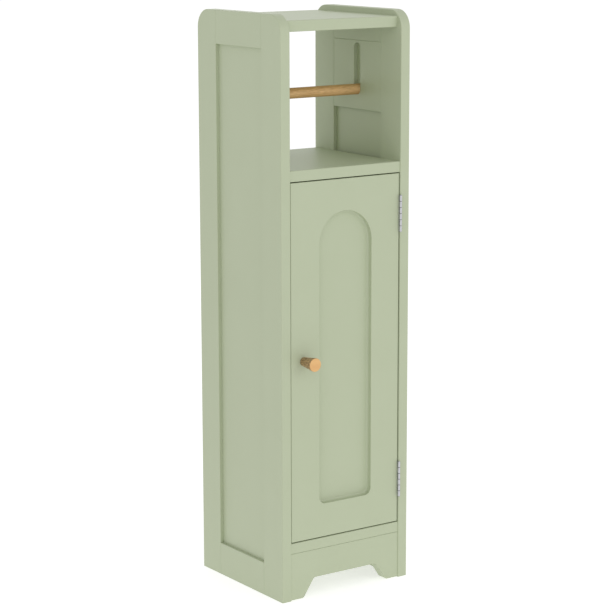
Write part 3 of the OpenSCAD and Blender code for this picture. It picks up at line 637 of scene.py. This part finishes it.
def makeDoor(look):
    # the door stands in the middle of the frame, at X 0
    faceY = doorLow.y
    springZ = doorHigh.z - look["archTop"] - look["archHalf"]
    baseZ = doorLow.z + look["archBottom"]
    bpy.ops.mesh.primitive_circle_add(
        vertices=look["archPoints"], radius=look["archHalf"] * mm,
        location=(0, faceY * mm, springZ * mm), rotation=(math.radians(90), 0, 0))
    door = bpy.context.object
    door.name = "doorPanel"
    startEdit(door)
    # arch outline: half the circle, two straight sides and two round corners
    pick(door, "VERT", lambda at, way: at.z < springZ - near)
    bpy.ops.mesh.delete(type="VERT")
    pick(door, "VERT", lambda at, way: abs(at.z - springZ) < near)
    bpy.ops.mesh.extrude_vertices_move(
        TRANSFORM_OT_translate={"value": (0, 0, (baseZ - springZ) * mm)})
    bpy.ops.mesh.select_all(action="SELECT")
    bpy.ops.mesh.edge_face_add()
    pick(door, "VERT", lambda at, way: abs(at.z - baseZ) < near)
    bpy.ops.mesh.bevel(
        offset=look["cornerRound"] * mm, segments=look["cornerSteps"], affect="VERTICES")
    bpy.ops.mesh.select_mode(type="FACE")
    bpy.ops.mesh.select_all(action="SELECT")
    bpy.ops.mesh.normals_make_consistent(inside=False)
    archFace = next(iter(bmesh.from_edit_mesh(door.data).faces))
    if archFace.normal.y > 0:  # one flat face has no outside, so it may point to the back
        bpy.ops.mesh.flip_normals()
    # the wall and cove, ring by ring
    for inwards, down in recessSteps(look):
        bpy.ops.mesh.inset(thickness=inwards * mm, depth=-down * mm)
    # front face round the arch, up to where the outer edges start to turn
    ease = look["edgeRound"]
    flatW = (doorHigh.x - doorLow.x) / 2 - ease
    flatH = (doorHigh.z - doorLow.z) / 2 - look["endTrim"] - ease
    midZ = (doorHigh.z + doorLow.z) / 2
    bpy.ops.mesh.select_all(action="DESELECT")
    bpy.ops.mesh.primitive_plane_add(
        size=2 * flatH * mm, location=(0, faceY * mm, midZ * mm),
        rotation=(math.radians(90), 0, 0))
    bpy.ops.transform.resize(
        value=(flatW / flatH, 1, 1), center_override=(0, faceY * mm, midZ * mm))
    bpy.ops.mesh.delete(type="ONLY_FACE")
    pickOpenFrontEdges(door, faceY)
    bpy.ops.mesh.fill()
    # eased outer edges, the board's thickness, and eased again at the back: each ring has its
    # place along Y and its growth beyond the flat front
    turn = quarterTurn(look["edgeSteps"])
    rings = [(faceY + ease * (1 - math.cos(a)), ease * math.sin(a)) for a in turn[1:]]
    rings += [(doorHigh.y - ease + ease * math.sin(a), ease * math.cos(a)) for a in turn]
    pick(door, "EDGE", lambda at, way: abs(at.y - faceY) < near and (
        abs(abs(at.x) - flatW) < near or abs(abs(at.z - midZ) - flatH) < near))
    y, grown = faceY, 0.0
    for nextY, grow in rings:
        bpy.ops.mesh.extrude_edges_move(
            TRANSFORM_OT_translate={"value": (0, (nextY - y) * mm, 0)})
        bpy.ops.transform.resize(
            value=((flatW + grow) / (flatW + grown), 1, (flatH + grow) / (flatH + grown)),
            center_override=(0, nextY * mm, midZ * mm))
        y, grown = nextY, grow
    bpy.ops.mesh.edge_face_add()
    bpy.ops.mesh.select_all(action="SELECT")
    bpy.ops.mesh.remove_doubles(threshold=look["weld"] * mm)
    bpy.ops.mesh.normals_make_consistent(inside=False)
    bpy.ops.object.mode_set(mode="OBJECT")
    for z in leafPocket["middles"]:
        cutLeafPocket(door, leafPocket, z)
    smoothPiece(door, look["smoothTo"])
    return door


def pickOpenFrontEdges(door, faceY):
    # the arch's rim and the outline round it, which no two faces share yet
    mesh = bmesh.from_edit_mesh(door.data)
    bpy.ops.mesh.select_mode(type="EDGE")
    bpy.ops.mesh.select_all(action="DESELECT")
    for edge in mesh.edges:
        middle = (edge.verts[0].co + edge.verts[1].co) / 2 / mm
        edge.select_set(len(edge.link_faces) < 2 and abs(middle.y - faceY) < near)
    bmesh.update_edit_mesh(door.data)


def cutLeafPocket(door, look, z):
    # shallow pocket in the hinged edge, open to the front, that lets a hinge leaf into the wood
    spare = look["overcut"]
    backY = doorLow.y + look["reach"]
    bpy.ops.object.select_all(action="DESELECT")
    bpy.ops.mesh.primitive_cube_add(size=1 * mm)
    cutter = bpy.context.object
    cutter.scale = (look["depth"] + spare, look["reach"] + spare, look["height"])
    cutter.location = Vector((
        doorHigh.x - look["depth"] + (look["depth"] + spare) / 2,
        backY - (look["reach"] + spare) / 2, z)) * mm
    startEdit(cutter)
    pick(cutter, "EDGE", lambda at, way: abs(way.x) > straight and abs(at.y - backY) < near)
    bpy.ops.mesh.bevel(
        offset=look["cornerRound"] * mm, segments=look["cornerSteps"], affect="EDGES")
    bpy.ops.object.mode_set(mode="OBJECT")
    bpy.ops.object.select_all(action="DESELECT")
    door.select_set(True)
    bpy.context.view_layer.objects.active = door
    bpy.ops.object.modifier_add(type="BOOLEAN")
    door.modifiers[-1].object = cutter
    door.modifiers[-1].operation = "DIFFERENCE"
    bpy.ops.object.modifier_apply(modifier=door.modifiers[-1].name)
    bpy.data.objects.remove(cutter)


bpy.ops.object.select_all(action="DESELECT")
door = makeDoor(doorLook)
hangOn(door, sagePaint, "door", "painted_board", "door_panel")
print("door made:", len(door.data.polygons), "faces")


# field panels of the side frames: a thin tongue in the frame's grooves, and a raised field
panelLook = {
    "tongue": 7.55,  # width of the tongue with its clearance, all round
    "rise": 1.0,  # the field stands this much above the tongue, on both faces
    "blockFoot": 657.7,  # inside, the field ends below the roller's block
    "smoothTo": 30,
}
fieldPanels = (  # name, the solid that it stands for, and the way out of the cabinet along X
    ("leftFieldPanel", "left_field_panel", -1),
    ("rightFieldPanel", "right_field_panel", 1),
)


def makeFieldPanel(name, node, side, look):
    low, high = (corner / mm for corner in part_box(node))
    bpy.ops.mesh.primitive_cube_add(size=1 * mm, location=(low + high) / 2 * mm)
    panel = bpy.context.object
    panel.name = name
    panel.scale = high - low
    startEdit(panel)
    for face in (side, -side):  # the outer face, then the inner one
        pick(panel, "FACE", lambda at, way: way.x * face > straight)
        bpy.ops.mesh.inset(thickness=look["tongue"] * mm)
        if face == -side:
            bpy.ops.mesh.bisect(plane_co=(0, 0, look["blockFoot"] * mm), plane_no=(0, 0, 1))
            fieldZ = (low.z + look["tongue"] + look["blockFoot"]) / 2
            pick(panel, "FACE",
                 lambda at, way: way.x * face > straight and abs(at.z - fieldZ) < near)
        bpy.ops.mesh.extrude_region_move(
            TRANSFORM_OT_translate={"value": (face * look["rise"] * mm, 0, 0)})
    smoothPiece(panel, look["smoothTo"])
    return panel


for panelName, panelNode, panelSide in fieldPanels:
    panel = makeFieldPanel(panelName, panelNode, panelSide, panelLook)
    hangOn(panel, sagePaint, "carcass", "painted_board", panelNode)
print("field panels made")


# knob: turned oak, a cone that widens to a rounded rim
knobLook = {
    "points": 72,
    "baseRadius": 6.0,
    "rimRound": 1.5,
    "rimSteps": 6,
    "footRound": 0.4,
    "footSteps": 2,
    "crown": 0.25,  # the face is turned very slightly domed
    "crownInset": 0.28,  # share of the radius from one ring of the dome to the next
    "crownRises": (0.5, 0.3, 0.2),  # each ring's share of the dome
    "setIn": 0.26,  # the foot sits this much into the door, so that the dome keeps the length
    "smoothTo": 40,
}


def makeKnob(look):
    length = knobHigh.y - knobLow.y
    frontRadius = (knobHigh.x - knobLow.x) / 2
    bpy.ops.mesh.primitive_cone_add(
        vertices=look["points"], radius1=look["baseRadius"] * mm, radius2=frontRadius * mm,
        depth=length * mm, location=(knobLow + knobHigh) / 2 * mm,
        rotation=(math.radians(90), 0, 0))
    knob = bpy.context.object
    knob.name = "doorKnob"
    startEdit(knob)
    pick(knob, "EDGE", lambda at, way: abs(at.y - knobLow.y) < near)
    bpy.ops.mesh.bevel(offset=look["rimRound"] * mm, segments=look["rimSteps"], affect="EDGES")
    pick(knob, "EDGE", lambda at, way: abs(at.y - knobHigh.y) < near)
    bpy.ops.mesh.bevel(offset=look["footRound"] * mm, segments=look["footSteps"], affect="EDGES")
    pick(knob, "FACE", lambda at, way: way.y < -straight and abs(at.y - knobLow.y) < near)
    for share in look["crownRises"]:
        bpy.ops.mesh.inset(thickness=look["crownInset"] * frontRadius * mm, depth=0)
        bpy.ops.transform.translate(value=(0, -share * look["crown"] * mm, 0))
    bpy.ops.mesh.poke()
    bpy.ops.mesh.select_all(action="SELECT")
    bpy.ops.transform.translate(value=(0, look["setIn"] * mm, 0))
    smoothPiece(knob, look["smoothTo"])
    return knob


knob = makeKnob(knobLook)
hangOn(knob, oakKnob, "door", "lacquered_oak", "door_knob")
print("knob made:", len(knob.data.polygons), "faces")


# roller bar: an oak dowel with rounded ends
barLow, barHigh = (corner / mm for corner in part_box("roller_bar"))
barLook = {
    "points": 64,
    "endRound": 0.9,
    "endSteps": 4,
    "endInsets": (3.2, 2.24, 0.5),  # rings of the end face, the last one round the dimple
    "centreMark": 0.5,  # depth of the dimple left by the lathe's centre
    "smoothTo": 32,
}


def makeBar(look):
    bpy.ops.mesh.primitive_cylinder_add(
        vertices=look["points"], radius=(barHigh.z - barLow.z) / 2 * mm,
        depth=(barHigh.x - barLow.x) * mm, location=(barLow + barHigh) / 2 * mm,
        rotation=(0, math.radians(90), 0))
    bar = bpy.context.object
    bar.name = "rollerBar"
    startEdit(bar)
    pick(bar, "EDGE", lambda at, way: abs(abs(at.x) - barHigh.x) < near)
    bpy.ops.mesh.bevel(offset=look["endRound"] * mm, segments=look["endSteps"], affect="EDGES")
    for side in (-1, 1):
        pick(bar, "FACE", lambda at, way: way.x * side > straight)
        for thickness in look["endInsets"]:
            bpy.ops.mesh.inset(thickness=thickness * mm)
        bpy.ops.transform.translate(value=(-side * look["centreMark"] * mm, 0, 0))
    smoothPiece(bar, look["smoothTo"])
    return bar


bar = makeBar(barLook)
hangOn(bar, oakBar, "roller", "lacquered_oak", "roller_bar")
print("roller bar made:", len(bar.data.polygons), "faces")
